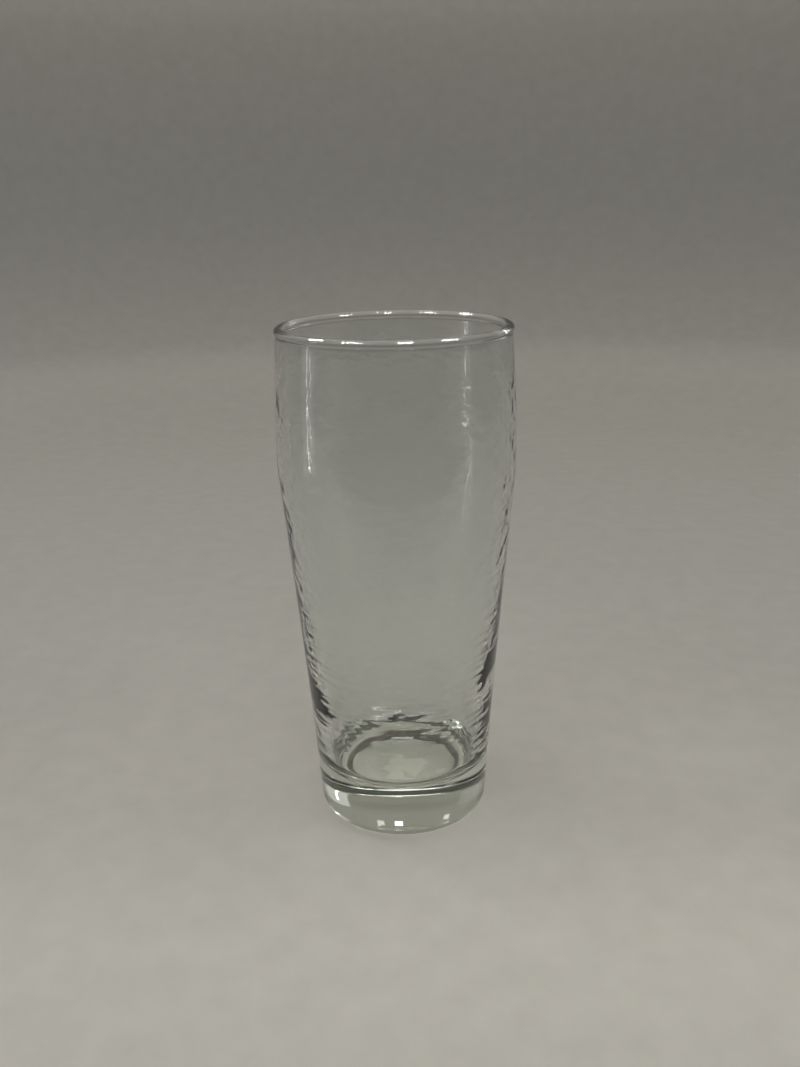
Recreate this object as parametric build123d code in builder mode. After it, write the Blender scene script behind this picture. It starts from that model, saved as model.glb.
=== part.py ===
# Tapered pint glass: a thick sham base, a flared lower wall, a shallow belly that turns in
# again, and a fire-polished lip.
#
# The real glass is one continuous piece. It is modelled as its five working zones, which meet
# face to face on level planes, so that each zone keeps its own name, shape and collision.
#
# Millimetres, +Z up. The origin is on the axis of the glass, on the plane that the foot stands on.

from build123d import *
import os

# Driving dimensions ------------------------------------------------------------------------

HEIGHT = 165.0

# Outside, as radius and height: a gently flared wall, then a belly that turns in to the lip
FOOT_CORNER = (28.5, 0.0)
FLARE_HANDLE = (31.6, 50.5)
FLARE_TOP = (37.7, 118.0)
BELLY_TURN = 4.6
NECK_HANDLE = (38.11, 140.9)
NECK_TOP = (36.14, HEIGHT)

# Inside: a flat floor on the sham, then a wall that thins towards the belly
SHAM_THICKNESS = 16.5
FLOOR_CORNER = (24.8, SHAM_THICKNESS)
CAVITY_HANDLE = (32.6, 82.0)
WALL_THICKNESS = 1.85
CAVITY_CORNER_RADIUS = 7.0

# Foot: a soft heel, a flat ring that carries the glass, and a shallow push-up inside the ring
HEEL_RADIUS = 4.3
PUSH_UP_RADIUS = 20.0
PUSH_UP_DEPTH = 0.5

# Lip: a bead a little thicker than the wall below it
BEAD_RADIUS = 1.35
BEAD_CENTRE = 35.4
BEAD_BLEND = 1.2

# Level planes where the zones meet
BASE_TOP = 24.0
BELLY_BOTTOM = 100.0
NECK_BOTTOM = 136.0
LIP_BOTTOM = 161.0

# Worked-out places --------------------------------------------------------------------------


def beyond(start, end, rise):
    """The point that carries the line from start to end on by rise in height."""
    slope = (end[0] - start[0]) / (end[1] - start[1])
    return (end[0] + slope * rise, end[1] + rise)


def inwards(point, distance):
    """The point moved towards the axis by distance."""
    return (point[0] - distance, point[1])


belly_handle = beyond(FLARE_HANDLE, FLARE_TOP, BELLY_TURN)
cavity_top = inwards(FLARE_TOP, WALL_THICKNESS)
bead_height = HEIGHT - BEAD_RADIUS

# Section of the whole glass, before its corners are rounded ---------------------------------

with BuildSketch(Plane.XZ) as glass_section:
    with BuildLine():
        Line((0, SHAM_THICKNESS), (0, 0))
        Line((0, 0), FOOT_CORNER)
        Bezier(FOOT_CORNER, FLARE_HANDLE, FLARE_TOP)
        Bezier(FLARE_TOP, belly_handle, NECK_HANDLE, NECK_TOP)
        Line(NECK_TOP, inwards(NECK_TOP, WALL_THICKNESS))
        Bezier(
            inwards(NECK_TOP, WALL_THICKNESS),
            inwards(NECK_HANDLE, WALL_THICKNESS),
            inwards(belly_handle, WALL_THICKNESS),
            cavity_top,
        )
        Bezier(cavity_top, CAVITY_HANDLE, FLOOR_CORNER)
        Line(FLOOR_CORNER, (0, SHAM_THICKNESS))
    make_face()


def level_band(low, high):
    """Keeps the part of the pending section that lies between two heights."""
    with Locations((0, low)):
        Rectangle(HEIGHT, high - low, align=(Align.CENTER, Align.MIN), mode=Mode.INTERSECT)


def wall_zone(low, high):
    """A plain stretch of the blown wall between two heights."""
    with BuildPart() as zone:
        with BuildSketch(Plane.XZ):
            add(glass_section.sketch)
            level_band(low, high)
        revolve(axis=Axis.Z)
    return zone


# Sham base: the solid foot, the floor of the glass and the rounded corner of the cavity -----

with BuildPart() as sham_base:
    with BuildSketch(Plane.XZ):
        add(glass_section.sketch)
        level_band(0, BASE_TOP)
    revolve(axis=Axis.Z)
    cavity_corner = edges().filter_by(GeomType.CIRCLE).filter_by_position(
        Axis.Z, SHAM_THICKNESS - 0.1, SHAM_THICKNESS + 0.1
    )
    fillet(cavity_corner, CAVITY_CORNER_RADIUS)
    fillet(edges().group_by(Axis.Z)[0], HEEL_RADIUS)
    with BuildSketch(Plane.XZ):
        with BuildLine():
            ThreePointArc((-PUSH_UP_RADIUS, 0), (0, PUSH_UP_DEPTH), (PUSH_UP_RADIUS, 0))
            Line((PUSH_UP_RADIUS, 0), (-PUSH_UP_RADIUS, 0))
        make_face()
        Rectangle(PUSH_UP_RADIUS, PUSH_UP_RADIUS, align=Align.MIN, mode=Mode.INTERSECT)
    revolve(axis=Axis.Z, mode=Mode.SUBTRACT)

# Flared wall: from the top of the base to where the wall has thinned ------------------------

flared_wall = wall_zone(BASE_TOP, BELLY_BOTTOM)

# Belly wall: the widest stretch, where the outline turns from opening to closing -------------

belly_wall = wall_zone(BELLY_BOTTOM, NECK_BOTTOM)

# Neck wall: the stretch that turns in towards the lip ----------------------------------------

neck_wall = wall_zone(NECK_BOTTOM, LIP_BOTTOM)

# Fire-polished lip: the cut edge of the blown wall, melted back into a round bead ------------

with BuildPart() as fire_polished_lip:
    with BuildSketch(Plane.XZ):
        add(glass_section.sketch)
        level_band(LIP_BOTTOM, bead_height)
        with Locations((BEAD_CENTRE, bead_height)):
            Circle(BEAD_RADIUS)
    revolve(axis=Axis.Z)
    bead_neck = edges().filter_by(GeomType.CIRCLE).filter_by_position(
        Axis.Z, LIP_BOTTOM + 0.5, bead_height - 0.2
    )
    fillet(bead_neck, BEAD_BLEND)

# One named solid for each zone --------------------------------------------------------------

sham_base.part.label = "sham_base"
flared_wall.part.label = "flared_wall"
belly_wall.part.label = "belly_wall"
neck_wall.part.label = "neck_wall"
fire_polished_lip.part.label = "fire_polished_lip"

zones = [sham_base, flared_wall, belly_wall, neck_wall, fire_polished_lip]

os.makedirs("parts", exist_ok=True)
for zone in zones:
    export_step(zone.part, f"parts/{zone.part.label}.step")

print(f"solid glass {sum(zone.part.volume for zone in zones) / 1000:.1f} ml")
for zone in zones:
    box = zone.part.bounding_box()
    print(f"{zone.part.label}: z {box.min.Z:.2f} to {box.max.Z:.2f}, radius {box.max.X:.2f}")
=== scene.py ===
# %% [markdown]
# # A pint glass in clear soda-lime glass
#
# A pint glass of this kind is one piece. A gob of glass is pressed and blown in an iron mould,
# the waste above the lip is cut off, and a flame melts the cut edge back into a round bead.
# The CAD model holds the exact outside, the cavity and the weight of the base. This script
# turns the same section on Blender's lathe as one skin, adds the slight waves that blowing
# leaves on the inside of the wall, and gives it real glass.

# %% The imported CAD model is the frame
import math

import bmesh
import bpy
from mathutils import Matrix, Vector, noise


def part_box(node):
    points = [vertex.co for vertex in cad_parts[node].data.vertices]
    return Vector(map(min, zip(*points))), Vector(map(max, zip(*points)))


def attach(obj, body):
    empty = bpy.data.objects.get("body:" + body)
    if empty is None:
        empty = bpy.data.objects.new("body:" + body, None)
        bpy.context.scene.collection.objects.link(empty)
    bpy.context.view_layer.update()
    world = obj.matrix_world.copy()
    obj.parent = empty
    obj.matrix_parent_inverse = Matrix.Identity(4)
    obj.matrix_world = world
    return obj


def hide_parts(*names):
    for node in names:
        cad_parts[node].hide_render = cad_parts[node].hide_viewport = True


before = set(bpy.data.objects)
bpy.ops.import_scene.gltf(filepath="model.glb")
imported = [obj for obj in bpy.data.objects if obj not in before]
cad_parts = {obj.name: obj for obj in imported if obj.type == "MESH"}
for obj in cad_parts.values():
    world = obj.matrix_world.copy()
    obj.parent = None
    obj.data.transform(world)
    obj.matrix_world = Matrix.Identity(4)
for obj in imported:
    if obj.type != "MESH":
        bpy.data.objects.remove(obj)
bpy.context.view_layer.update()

MM = 0.001

# %% [markdown]
# ## Sizes
#
# The height of the lip and the radius of the belly come from the boxes of the CAD zones. The
# outline repeats the design's own control points, because a smooth profile is what makes a
# glass look drawn by one hand rather than stacked from cones.

# %% Heights and radii of the glass, in metres
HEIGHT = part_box("fire_polished_lip")[1].z
BELLY_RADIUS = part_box("belly_wall")[1].x

FOOT_CORNER = Vector((28.5, 0, 0)) * MM
FLARE_HANDLE = Vector((31.6, 0, 50.5)) * MM
FLARE_TOP = Vector((37.7, 0, 118)) * MM
BELLY_HANDLE = Vector((38.116, 0, 122.6)) * MM
NECK_HANDLE = Vector((38.11, 0, 140.9)) * MM
NECK_TOP = Vector((36.14, 0, 165)) * MM

FLOOR_CORNER = Vector((24.8, 0, 16.5)) * MM
CAVITY_HANDLE = Vector((32.6, 0, 82)) * MM
CAVITY_CORNER_RADIUS = 7 * MM
WALL = Vector((1.85, 0, 0)) * MM

HEEL_RADIUS = 4.3 * MM
PUSH_UP_RADIUS = 20 * MM
PUSH_UP_DEPTH = 0.5 * MM

BEAD_RADIUS = 1.35 * MM
BEAD_CENTRE = Vector((35.4 * MM, 0, HEIGHT - BEAD_RADIUS))
print(f"glass {HEIGHT / MM:.1f} mm tall, {2 * BELLY_RADIUS / MM:.1f} mm across the belly")

# %% [markdown]
# ## Drawing the section
#
# Half of the glass is drawn as one closed run of Bezier stretches, from the push-up under the
# foot, round the heel, up the outside, over the lip and down the cavity to the floor. Each
# stretch has its own number of steps, so that a tight corner is as smooth as a long wall.


# %% Helpers that add a stretch to the section
section = bpy.data.curves.new("glass_section", "CURVE")
section.dimensions = "3D"


def stretch(start, handle_a, handle_b, end, steps):
    """One cubic stretch of the section."""
    spline = section.splines.new("BEZIER")
    spline.bezier_points.add(1)
    first, last = spline.bezier_points
    for point in (first, last):
        point.handle_left_type = point.handle_right_type = "FREE"
    first.co, first.handle_left, first.handle_right = start, start, handle_a
    last.co, last.handle_left, last.handle_right = end, handle_b, end
    spline.resolution_u = steps


def bowed(start, handle, end, steps):
    """A stretch with one control point: the design's quadratic curves."""
    stretch(start, start.lerp(handle, 2 / 3), end.lerp(handle, 2 / 3), end, steps)


def straight(start, end, steps):
    """A straight stretch."""
    stretch(start, start.lerp(end, 1 / 3), start.lerp(end, 2 / 3), end, steps)


def rounded(corner, towards_a, towards_b, radius, steps):
    """A round corner between two lines. Returns where it leaves each of them."""
    a = (towards_a - corner).normalized()
    b = (towards_b - corner).normalized()
    opening = a.angle(b)
    setback = radius / math.tan(opening / 2)
    pull = 4 / 3 * math.tan((math.pi - opening) / 4) * radius
    start, end = corner + a * setback, corner + b * setback
    stretch(start, start - a * pull, end - b * pull, end, steps)
    return start, end


def first_part(a, b, c, d, share):
    """The first part of a cubic stretch, cut off at a share of its run."""
    ab, bc, cd = a.lerp(b, share), b.lerp(c, share), c.lerp(d, share)
    abc, bcd = ab.lerp(bc, share), bc.lerp(cd, share)
    return a, ab, abc, abc.lerp(bcd, share)


# %% [markdown]
# ### Foot
#
# A real base has a shallow push-up, so that the glass stands on a ring and doesn't rock, and a
# soft heel that doesn't chip when it is set down. Both come from the mould.

# %% Push-up, standing ring and heel
AXIS_LOW = Vector((0, 0, PUSH_UP_DEPTH))
RING_INNER = Vector((PUSH_UP_RADIUS, 0, 0))
PUSH_UP_HANDLE = Vector((PUSH_UP_RADIUS / 2, 0, PUSH_UP_DEPTH))

dome_end, ring_start = rounded(RING_INNER, PUSH_UP_HANDLE, FOOT_CORNER, 4 * MM, 3)
bowed(AXIS_LOW, PUSH_UP_HANDLE, dome_end, 10)
ring_end, heel_end = rounded(FOOT_CORNER, RING_INNER, FLARE_HANDLE, HEEL_RADIUS, 12)
straight(ring_start, ring_end, 3)
print(f"standing ring {ring_start.x / MM:.1f} to {ring_end.x / MM:.1f} mm from the axis")

# %% [markdown]
# ### Outside wall
#
# The flare is one long curve, and the belly turns it back in. A belly keeps wet glasses from
# wedging into each other when they are stacked, and gives the hand something to stop against.

# %% Flare, belly and neck
NECK_SHARE = 0.955

bowed(heel_end, FLARE_HANDLE, FLARE_TOP, 72)
outer_neck = first_part(FLARE_TOP, BELLY_HANDLE, NECK_HANDLE, NECK_TOP, NECK_SHARE)
stretch(*outer_neck, 24)
inner_neck = first_part(
    FLARE_TOP - WALL, BELLY_HANDLE - WALL, NECK_HANDLE - WALL, NECK_TOP - WALL, NECK_SHARE
)
stretch(*inner_neck, 24)

# %% [markdown]
# ### Lip
#
# The flame melts the cut edge and surface tension pulls it into a bead that is a little
# thicker than the wall. It is drawn as a round arc with a soft hollow below it on each side.

# %% Fire-polished bead
BEAD_TUCK = math.radians(28)
BLEND_PULL = 0.5 * MM


def on_bead(angle):
    """A point of the bead, and the direction of its surface there."""
    out = Vector((math.cos(angle), 0, math.sin(angle)))
    return BEAD_CENTRE + out * BEAD_RADIUS, Vector((-out.z, 0, out.x))


def bead_arc(start_angle, end_angle, steps):
    """A stretch of the bead's round."""
    start, start_along = on_bead(start_angle)
    end, end_along = on_bead(end_angle)
    pull = 4 / 3 * math.tan((end_angle - start_angle) / 4) * BEAD_RADIUS
    stretch(start, start + start_along * pull, end - end_along * pull, end, steps)


def hollow(neck, angle, turn):
    """The soft hollow between the top of a wall and the bead."""
    wall_along = (neck[3] - neck[2]).normalized()
    bead_point, bead_along = on_bead(angle)
    handle = bead_point - bead_along * BLEND_PULL * turn
    stretch(neck[3], neck[3] + wall_along * BLEND_PULL, handle, bead_point, 5)


hollow(outer_neck, -BEAD_TUCK, 1)
bead_arc(-BEAD_TUCK, math.pi / 2, 12)
bead_arc(math.pi / 2, math.pi + BEAD_TUCK, 12)
hollow(inner_neck, math.pi + BEAD_TUCK, -1)
lip_width = 2 * (BEAD_CENTRE.x + BEAD_RADIUS)
print(f"lip {lip_width / MM:.1f} mm across, bead {2 * BEAD_RADIUS / MM:.1f} mm thick")

# %% [markdown]
# ### Cavity
#
# The inside of a pressed and blown base is a shallow dish: a level floor and a wide round
# corner, because hot glass never fills a sharp one.

# %% Inner wall, cavity corner and floor
AXIS_HIGH = Vector((0, 0, FLOOR_CORNER.z))

floor_edge, corner_end = rounded(
    FLOOR_CORNER, AXIS_HIGH, CAVITY_HANDLE, CAVITY_CORNER_RADIUS, 18
)
bowed(corner_end, CAVITY_HANDLE, FLARE_TOP - WALL, 200)
straight(AXIS_HIGH, floor_edge, 8)
print(f"level floor {2 * floor_edge.x / MM:.1f} mm across, {FLOOR_CORNER.z / MM:.1f} mm up")

# %% [markdown]
# ## On the lathe
#
# The section is turned once round the axis with the spin operator. Where stretches meet, and
# on the axis itself, doubles are merged, and only then are the normals made to point out.

# %% Turn the section into one closed skin
SPIN_STEPS = 224
MERGE = 1e-6

profile = bpy.data.objects.new("glass_section", section)
bpy.context.collection.objects.link(profile)
section_mesh = bpy.data.meshes.new_from_object(profile)
bpy.data.objects.remove(profile)

skin = bmesh.new()
skin.from_mesh(section_mesh)
bmesh.ops.remove_doubles(skin, verts=skin.verts, dist=MERGE)
section_points = len(skin.verts)
bmesh.ops.spin(
    skin,
    geom=skin.verts[:] + skin.edges[:],
    cent=(0, 0, 0),
    axis=(0, 0, 1),
    angle=math.tau,
    steps=SPIN_STEPS,
    use_merge=True,
)
bmesh.ops.remove_doubles(skin, verts=skin.verts, dist=MERGE)
bmesh.ops.recalc_face_normals(skin, faces=skin.faces)
for face in skin.faces:
    face.smooth = True
open_edges = sum(1 for edge in skin.edges if not edge.is_manifold)
glass_volume = skin.calc_volume(signed=True)
print(section_points, "points in the section,", len(skin.faces), "faces,", open_edges, "open edges")
print(f"{glass_volume * 1e6:.1f} ml of glass")

# %% [markdown]
# ## Waves on the inside
#
# The mould shapes the outside, and nothing but air shapes the inside, so a blown wall is never
# quite even. Long shallow waves run up it. Low down, where the hot glass first met the cold iron,
# the surface sets in fine level chill rings, and higher up it ripples as it is blown out. They
# make lines seen through the glass tremble, so they are moved into the mesh itself.

# %% Move the inner wall by soft noise and a few settle lumps
LONG_WAVE = 0.14 * MM
LONG_WAVE_SIZE = (14 * MM, 24 * MM)
RIPPLE_LOW, RIPPLE_HIGH = 0.03 * MM, 0.12 * MM
RIPPLE_SIZE = (5 * MM, 5 * MM)
RIPPLE_RISE = (85 * MM, 110 * MM)
CHILL = 0.06 * MM
CHILL_SIZE = (13 * MM, 1.5 * MM)
CHILL_START = (20 * MM, 27 * MM)
CHILL_END = (55 * MM, 90 * MM)
STILL_LIP = (150 * MM, 160 * MM)

# Each lump: bearing in degrees from +X, height, half-width round, half-height, thickness
SETTLE_LUMPS = [
    (-12, 52 * MM, 18, 5 * MM, 0.6 * MM),
    (196, 38 * MM, 22, 7 * MM, 0.5 * MM),
    (95, 62 * MM, 40, 10 * MM, 0.4 * MM),
]


def ease(low, high, value):
    """0 below low, 1 above high, and a soft turn between."""
    share = min(max((value - low) / (high - low), 0), 1)
    return share * share * (3 - 2 * share)


def wave(place, size, seed):
    """Soft noise of about -1 to 1 that is size[0] wide round the glass and size[1] tall."""
    return noise.noise(Vector((place.x / size[0], place.y / size[0], place.z / size[1] + seed)))


def lump(place, bearing, height, half_width, half_height, thickness):
    """The thickness that one settle lump adds at a place."""
    away = (math.degrees(math.atan2(place.y, place.x)) - bearing + 180) % 360 - 180
    return thickness * math.exp(-((away / half_width) ** 2) - ((place.z - height) / half_height) ** 2)


skin.normal_update()
moves = []
for vertex in skin.verts:
    radial = Vector((vertex.co.x, vertex.co.y, 0))
    if radial.length < MM:
        continue
    radial.normalize()
    inside = ease(0.2, 0.9, -vertex.normal.dot(radial))
    fade = inside * (1 - ease(*STILL_LIP, vertex.co.z))
    if fade <= 0:
        continue
    inwards = LONG_WAVE * wave(vertex.co, LONG_WAVE_SIZE, 3.7)
    ripple = RIPPLE_LOW + (RIPPLE_HIGH - RIPPLE_LOW) * ease(*RIPPLE_RISE, vertex.co.z)
    inwards += ripple * wave(vertex.co, RIPPLE_SIZE, 11.3)
    low_down = ease(*CHILL_START, vertex.co.z) * (1 - ease(*CHILL_END, vertex.co.z))
    inwards += CHILL * low_down * wave(vertex.co, CHILL_SIZE, 7.9)
    inwards += sum(lump(vertex.co, *settings) for settings in SETTLE_LUMPS)
    moves.append((vertex, -radial * inwards * fade))
for vertex, move in moves:
    vertex.co += move
print(len(moves), "points of the inner wall moved, by up to",
      f"{max(move.length for _, move in moves) / MM:.2f} mm")

# %% [markdown]
# ## The piece
#
# The whole glass is one piece, as the real one is, so one mesh stands for all five CAD zones.
# Their meeting faces would show as mirrors inside real glass.

# %% Make the glass object and hand it to the frame
glass_mesh = bpy.data.meshes.new("pint_glass")
skin.to_mesh(glass_mesh)
skin.free()
pint_glass = bpy.data.objects.new("pint_glass", glass_mesh)
bpy.context.collection.objects.link(pint_glass)
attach(pint_glass, "root")
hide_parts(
    "sham_base", "flared_wall", "belly_wall", "neck_wall", "fire_polished_lip"
)
print(pint_glass.name, len(glass_mesh.polygons), "faces for five zones")

# %% [markdown]
# ## Glass
#
# Soda-lime glass bends light with an index of about 1.52. Traces of iron tint it green, but so
# weakly that only a long way through it shows: the wall looks clear, and the base and the edges
# look grey-green. So most of the colour is in the volume. The surface is a little grey as well,
# so that the wall dims what is behind it. That grey was tuned and isn't a measured value.
#
# Waves too fine for the mesh are a bump. They are strongest in the thin blown belly, weak in the
# flare, and absent from the pressed base and from the lip, which the flame has made smooth.


# %% Node helper and colours
def linear(hex_colour):
    """An sRGB hex colour as linear red, green, blue and alpha."""
    channels = [int(hex_colour[i:i + 2], 16) / 255 for i in (1, 3, 5)]
    return [c / 12.92 if c <= 0.04045 else ((c + 0.055) / 1.055) ** 2.4 for c in channels] + [1.0]


def add_node(tree, kind, settings=None, inputs=None, links=None):
    """Adds a node, sets its properties and sockets, and links sockets to other nodes' outputs."""
    node = tree.nodes.new(kind)
    for name, value in (settings or {}).items():
        setattr(node, name, value)
    for name, value in (inputs or {}).items():
        node.inputs[name].default_value = value
    for name, source in (links or {}).items():
        tree.links.new(source, node.inputs[name])
    return node


def ramp(tree, source, low, high, levels, interpolation="LINEAR"):
    """A ramp over a value from low to high. Levels give the grey, or the colour, at each value."""
    share = add_node(
        tree, "ShaderNodeMapRange", inputs={"From Min": low, "From Max": high}, links={"Value": source}
    )
    node = add_node(tree, "ShaderNodeValToRGB", links={"Fac": share.outputs["Result"]})
    node.color_ramp.interpolation = interpolation
    stops = node.color_ramp.elements
    stops.remove(stops[1])
    for value, level in levels.items():
        stop = stops.new((value - low) / (high - low))
        stop.color = (*(level if isinstance(level, tuple) else (level,) * 3), 1.0)
    stops.remove(stops[0])
    return node


def new_material(name):
    """An empty node material and its tree."""
    material = bpy.data.materials.new(name)
    material.use_nodes = True
    material.node_tree.nodes.clear()
    return material, material.node_tree


# %% Soda-lime glass, fire-polished
SODA_LIME_IOR = 1.52
SMEAR_SIZE = 18 * MM
SMEAR_ROUGHNESS = 0.012
SURFACE_TONE = (0.922, 0.934, 0.928, 1.0)
IRON_TINT = "#d2ecbc"
TINT_DENSITY = 3.5
WAVE_SIZE = 3 * MM
WAVE_HEIGHT = 0.2 * MM
# How strong the waves are at each height: none in the pressed base, strongest in the belly
WAVE_STRENGTH = {0: 0, 22: 0, 32: 0.35, 62: 0.35, 100: 0.5, 152: 0.5, 160: 0, 165: 0}

# Soda-lime container glass, clear, as it leaves the mould and the flame
glass, tree = new_material("soda_lime_glass_fire_polished")
place = add_node(tree, "ShaderNodeTexCoord")
smears = add_node(
    tree, "ShaderNodeTexNoise", inputs={"Scale": 1 / SMEAR_SIZE, "Detail": 4.0},
    links={"Vector": place.outputs["Object"]},
)
roughness = add_node(
    tree, "ShaderNodeMapRange",
    inputs={"From Min": 0.45, "From Max": 0.8, "To Min": 0.0, "To Max": SMEAR_ROUGHNESS},
    links={"Value": smears.outputs["Fac"]},
)
wider = add_node(
    tree, "ShaderNodeMapping", inputs={"Scale": (0.7, 0.7, 1.0)},
    links={"Vector": place.outputs["Object"]},
)
waves = add_node(
    tree, "ShaderNodeTexNoise", inputs={"Scale": 1 / WAVE_SIZE, "Detail": 1.0},
    links={"Vector": wider.outputs["Vector"]},
)
spot = add_node(tree, "ShaderNodeSeparateXYZ", links={"Vector": place.outputs["Object"]})
strength_by_height = {height * MM: share for height, share in WAVE_STRENGTH.items()}
wave_strength = ramp(tree, spot.outputs["Z"], 0, HEIGHT, strength_by_height)
wave_height = add_node(
    tree, "ShaderNodeMapRange",
    links={"Value": waves.outputs["Fac"], "To Max": wave_strength.outputs["Color"]},
)
skin_bump = add_node(
    tree, "ShaderNodeBump", inputs={"Strength": 1.0, "Distance": WAVE_HEIGHT},
    links={"Height": wave_height.outputs["Result"]},
)
shader = add_node(
    tree, "ShaderNodeBsdfPrincipled",
    inputs={
        "Base Color": SURFACE_TONE,
        "IOR": SODA_LIME_IOR,
        "Transmission Weight": 1.0,
    },
    links={"Roughness": roughness.outputs["Result"], "Normal": skin_bump.outputs["Normal"]},
)
tint = add_node(
    tree, "ShaderNodeVolumeAbsorption", inputs={"Color": linear(IRON_TINT), "Density": TINT_DENSITY}
)
add_node(
    tree, "ShaderNodeOutputMaterial",
    links={"Surface": shader.outputs["BSDF"], "Volume": tint.outputs["Volume"]},
)
pint_glass.data.materials.append(glass)
print(glass.name, "index", SODA_LIME_IOR, "tint", IRON_TINT)

# %% [markdown]
# ## Studio
#
# Clear glass has no look of its own: it shows the room. The room here is a round cove of pale
# paper. Its front half is painted dark, as painted shade, because the edges of clear glass only draw
# themselves when they have something dark to mirror.

# %% Round paper cove
COVE_FLOOR = 0.55
COVE_BEND = 0.35
COVE_HEIGHT = 1.1

cove = bmesh.new()
cove_points = ((0, 0, 0), (COVE_FLOOR + COVE_BEND, 0, 0), (COVE_FLOOR + COVE_BEND, 0, COVE_HEIGHT))
corner = [cove.verts.new(point) for point in cove_points]
for a, b in zip(corner, corner[1:]):
    cove.edges.new((a, b))
bmesh.ops.bevel(
    cove, geom=[corner[1]], affect="VERTICES", offset=COVE_BEND, segments=24, profile=0.5,
    material=-1,
)
bmesh.ops.spin(
    cove, geom=cove.verts[:] + cove.edges[:], cent=(0, 0, 0), axis=(0, 0, 1), angle=math.tau,
    steps=96, use_merge=True,
)
bmesh.ops.remove_doubles(cove, verts=cove.verts, dist=MERGE)
bmesh.ops.recalc_face_normals(cove, faces=cove.faces)
for face in cove.faces:
    face.smooth = True
cove_mesh = bpy.data.meshes.new("paper_cove")
cove.to_mesh(cove_mesh)
cove.free()
paper_cove = bpy.data.objects.new("paper_cove", cove_mesh)
bpy.context.collection.objects.link(paper_cove)
print(f"cove {2 * (COVE_FLOOR + COVE_BEND):.2f} m across, {COVE_HEIGHT:.2f} m tall")

# %% [markdown]
# ### Paper
#
# The paper is given a little painted glow, emission that stands in for light, so that the foot isn't
# black where the glass stands on it. Painted shade darkens it just above the floor and lets it come
# back higher up, and painted shade makes the floor a little darker behind the glass. A darker ring of
# painted shade round a small patch of painted light lies under the foot, and stands for the light that
# the base gathers like a lens.

# %% Pale paper
PAPER_DARK, PAPER_LIGHT = "#bdb7ab", "#cdc7bb"
MOTTLE_SIZE = 12 * MM
PAPER_PAINTED_GLOW = 0.13
PATCH_GRAIN = 9 * MM
PATCH_WANDER = 15 * MM

# Painted shade by height, and along Y for the floor and the wall: the front is at -0.5, the back at
# 0.5
PAINTED_DARK_FRONT = (0.13, 0.19, 0.18)
PAINTED_SHADE_BY_HEIGHT = {
    0: 1, 0.02: 0.85, 0.06: 0.52, 0.2: 0.36, 0.36: 0.5, 0.46: 0.8, 0.53: 0.55, 0.62: 0.84, 1.1: 0.84,
}
FLOOR_PAINTED_SHADE = {-0.5: PAINTED_DARK_FRONT, -0.34: PAINTED_DARK_FRONT, -0.18: 1, -0.09: 1, 0: 0.76, 0.1: 0.7, 0.5: 0.7}
WALL_PAINTED_SHADE = {-0.5: PAINTED_DARK_FRONT, 0.08: PAINTED_DARK_FRONT, 0.42: 1, 0.5: 1}
# Painted shade ring and painted light patch under the foot, by distance from the axis
FOOT_PAINTED_LIGHT_AND_SHADE = {0: 1, 0.006: 0.96, 0.0085: 0.72, 0.019: 0.72, 0.0235: 1, 0.05: 1}

paper, tree = new_material("pale_paper")
place = add_node(tree, "ShaderNodeTexCoord")
mottle = add_node(
    tree, "ShaderNodeTexNoise", inputs={"Scale": 1 / MOTTLE_SIZE, "Detail": 6.0},
    links={"Vector": place.outputs["Object"]},
)
paper_tone = add_node(tree, "ShaderNodeValToRGB", links={"Fac": mottle.outputs["Fac"]})
paper_tone.color_ramp.elements[0].color = linear(PAPER_DARK)
paper_tone.color_ramp.elements[1].color = linear(PAPER_LIGHT)

spot = add_node(tree, "ShaderNodeSeparateXYZ", links={"Vector": place.outputs["Object"]})
# Painted shade by height: darker just above the floor, lighter again higher up
height_painted_shade = ramp(tree, spot.outputs["Z"], 0, COVE_HEIGHT, PAINTED_SHADE_BY_HEIGHT, "B_SPLINE")
# Painted shade along Y: dark in front on floor and wall, and a little darker on the floor behind the
# glass
floor_painted_shade = ramp(tree, spot.outputs["Y"], -0.5, 0.5, FLOOR_PAINTED_SHADE, "EASE")
wall_painted_shade = ramp(tree, spot.outputs["Y"], -0.5, 0.5, WALL_PAINTED_SHADE, "EASE")
raised = add_node(
    tree, "ShaderNodeMapRange", {"interpolation_type": "SMOOTHSTEP"},
    {"From Min": 0.0, "From Max": 0.05}, {"Value": spot.outputs["Z"]},
)
painted_place_shade = add_node(
    tree, "ShaderNodeMix", {"data_type": "RGBA"},
    links={
        "Factor": raised.outputs["Result"],
        "A": floor_painted_shade.outputs["Color"],
        "B": wall_painted_shade.outputs["Color"],
    },
)
# Noise that makes the edge of the painted light patch and painted shade ring under the foot uneven
patch_edge_noise = add_node(
    tree, "ShaderNodeTexNoise", inputs={"Scale": 1 / PATCH_GRAIN, "Detail": 2.0},
    links={"Vector": place.outputs["Object"]},
)
wander = add_node(
    tree, "ShaderNodeMapRange", inputs={"To Min": -PATCH_WANDER, "To Max": PATCH_WANDER},
    links={"Value": patch_edge_noise.outputs["Fac"]},
)
uneven = add_node(tree, "ShaderNodeVectorMath", {"operation": "ADD"})
tree.links.new(place.outputs["Object"], uneven.inputs[0])
tree.links.new(wander.outputs["Result"], uneven.inputs[1])
from_axis = add_node(
    tree, "ShaderNodeVectorMath", {"operation": "LENGTH"}, links={"Vector": uneven.outputs["Vector"]}
)
# Painted shade ring round a painted light patch under the foot
foot_painted_light_and_shade = ramp(tree, from_axis.outputs["Value"], 0, 0.05, FOOT_PAINTED_LIGHT_AND_SHADE, "EASE")

paper_colour = paper_tone.outputs["Color"]
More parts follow.
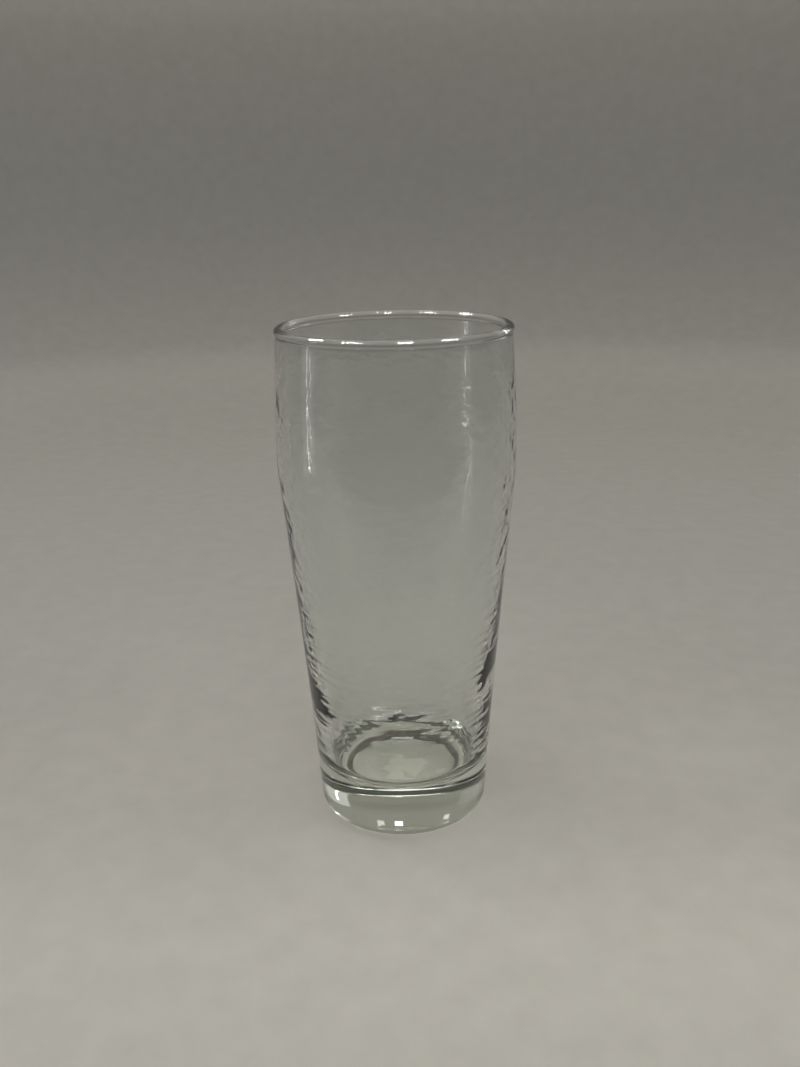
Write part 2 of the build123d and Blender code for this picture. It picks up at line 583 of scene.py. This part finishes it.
# Multiply in the painted shade by height, the painted shade by place and the painted light and shade
# under the foot
for layer in (height_painted_shade.outputs["Color"], painted_place_shade.outputs["Result"], foot_painted_light_and_shade.outputs["Color"]):
    darkened = add_node(
        tree, "ShaderNodeMix", {"data_type": "RGBA", "blend_type": "MULTIPLY"}, {"Factor": 1.0},
        {"A": paper_colour, "B": layer},
    )
    paper_colour = darkened.outputs["Result"]
# The paper's emission is a painted glow that lifts the shade under and round the foot
shader = add_node(
    tree, "ShaderNodeBsdfPrincipled", inputs={"Roughness": 0.9, "Emission Strength": PAPER_PAINTED_GLOW},
    links={"Base Color": paper_colour, "Emission Color": paper_colour},
)
add_node(tree, "ShaderNodeOutputMaterial", links={"Surface": shader.outputs["BSDF"]})
paper_cove.data.materials.append(paper)
print(paper.name, PAPER_DARK, "to", PAPER_LIGHT)

# %% [markdown]
# ### Lights
#
# One wide soft wash over the glass lights the paper. All the others are there to be mirrored.
# Rows of short ceiling lamps leave crisp dashes on the lip. A narrow window on the left leaves a
# thin line down the wall. Two soft panels behind the sides lift the edges, and three small far
# lamps show as squares in the base, which mirrors what is high behind the glass.

# %% Panels round the glass
AIM = Vector((0, 0, 0.10))


def panel(name, bearing, elevation, distance, width, height, power, lights_paper=False):
    """A flat soft light. Bearing is degrees to the right of the camera's side of the glass."""
    turn, lift = math.radians(bearing), math.radians(elevation)
    across = Vector((math.sin(turn), -math.cos(turn), 0)) * math.cos(lift)
    away = across + Vector((0, 0, math.sin(lift)))
    light = bpy.data.lights.new(name, "AREA")
    light.shape = "RECTANGLE"
    light.size, light.size_y = width, height
    light.energy = power
    lamp = bpy.data.objects.new(name, light)
    bpy.context.collection.objects.link(lamp)
    facing = away.to_track_quat("Z", "Y").to_matrix().to_4x4()
    lamp.matrix_world = Matrix.Translation(AIM + away * distance) @ facing
    lamp.visible_camera = False
    lamp.visible_diffuse = lights_paper
    lamp.visible_glossy = not lights_paper


# Bearings and elevations in degrees
CEILING = {"back_left": -114, "left": -49, "middle": 13, "right": 66}
TUBES = {"upper": 54, "lower": 47}
for spot_name, bearing in CEILING.items():
    for tube_name, elevation in TUBES.items():
        panel(f"ceiling_{spot_name}_{tube_name}", bearing, elevation, 1.0, 0.24, 0.04, 8.0)

# Bearing, elevation, distance, width, height, power
MIRRORED = {
    "soft_left": (-132, 12, 0.85, 0.45, 0.55, 0.06),
    "soft_right": (132, 12, 0.85, 0.45, 0.55, 0.28),
    "slot_right": (136, 16, 0.8, 0.03, 0.3, 0.15),
    "window_left": (-80, 9, 0.8, 0.05, 0.10, 0.08),
    "window_gap_left": (-86, -3, 0.45, 0.004, 0.13, 0.018),
    "window_sill_left": (-86, -3, 0.46, 0.12, 0.15, 0.022),
    "far_lamp_middle": (177, 36, 0.85, 0.05, 0.045, 0.016),
    "far_lamp_left": (167, 36, 0.85, 0.05, 0.045, 0.0035),
    "far_lamp_right": (205, 35, 0.85, 0.05, 0.045, 0.004),
}
for name, settings in MIRRORED.items():
    panel(name, *settings)
panel("ceiling_wash", 0, 89, 1.2, 1.1, 1.1, 7.2, lights_paper=True)

ROOM_TONE = "#8fa8a4"
ROOM_STRENGTH = 0.15

world = bpy.data.worlds.new("room")
world.use_nodes = True
background = world.node_tree.nodes["Background"]
background.inputs["Color"].default_value = linear(ROOM_TONE)
background.inputs["Strength"].default_value = ROOM_STRENGTH
bpy.context.scene.world = world
print(len(bpy.data.lights), "panels, room", ROOM_TONE)

# %% [markdown]
# ## Camera
#
# The camera stands a little above the lip and looks down at the glass, with a slight tilt of
# the hand.

# %% Camera
CAMERA_BACK = 0.3162
CAMERA_HEIGHT = 0.2049
CAMERA_PITCH = 18.8
CAMERA_YAW = 0.10
CAMERA_ROLL = -1.19
CAMERA_LENS = 34.5

camera_data = bpy.data.cameras.new("camera")
camera_data.lens = CAMERA_LENS
camera_data.sensor_width = 36.0
camera_data.clip_start = 0.01
camera = bpy.data.objects.new("camera", camera_data)
bpy.context.collection.objects.link(camera)
camera.matrix_world = (
    Matrix.Translation((0, -CAMERA_BACK, CAMERA_HEIGHT))
    @ Matrix.Rotation(math.radians(-CAMERA_YAW), 4, "Z")
    @ Matrix.Rotation(math.radians(90 - CAMERA_PITCH), 4, "X")
    @ Matrix.Rotation(math.radians(CAMERA_ROLL), 4, "Z")
)
scene = bpy.context.scene
scene.camera = camera
scene.view_settings.view_transform = "Standard"
print(f"camera {CAMERA_BACK:.2f} m in front, {CAMERA_HEIGHT:.2f} m up, {CAMERA_LENS} mm lens")
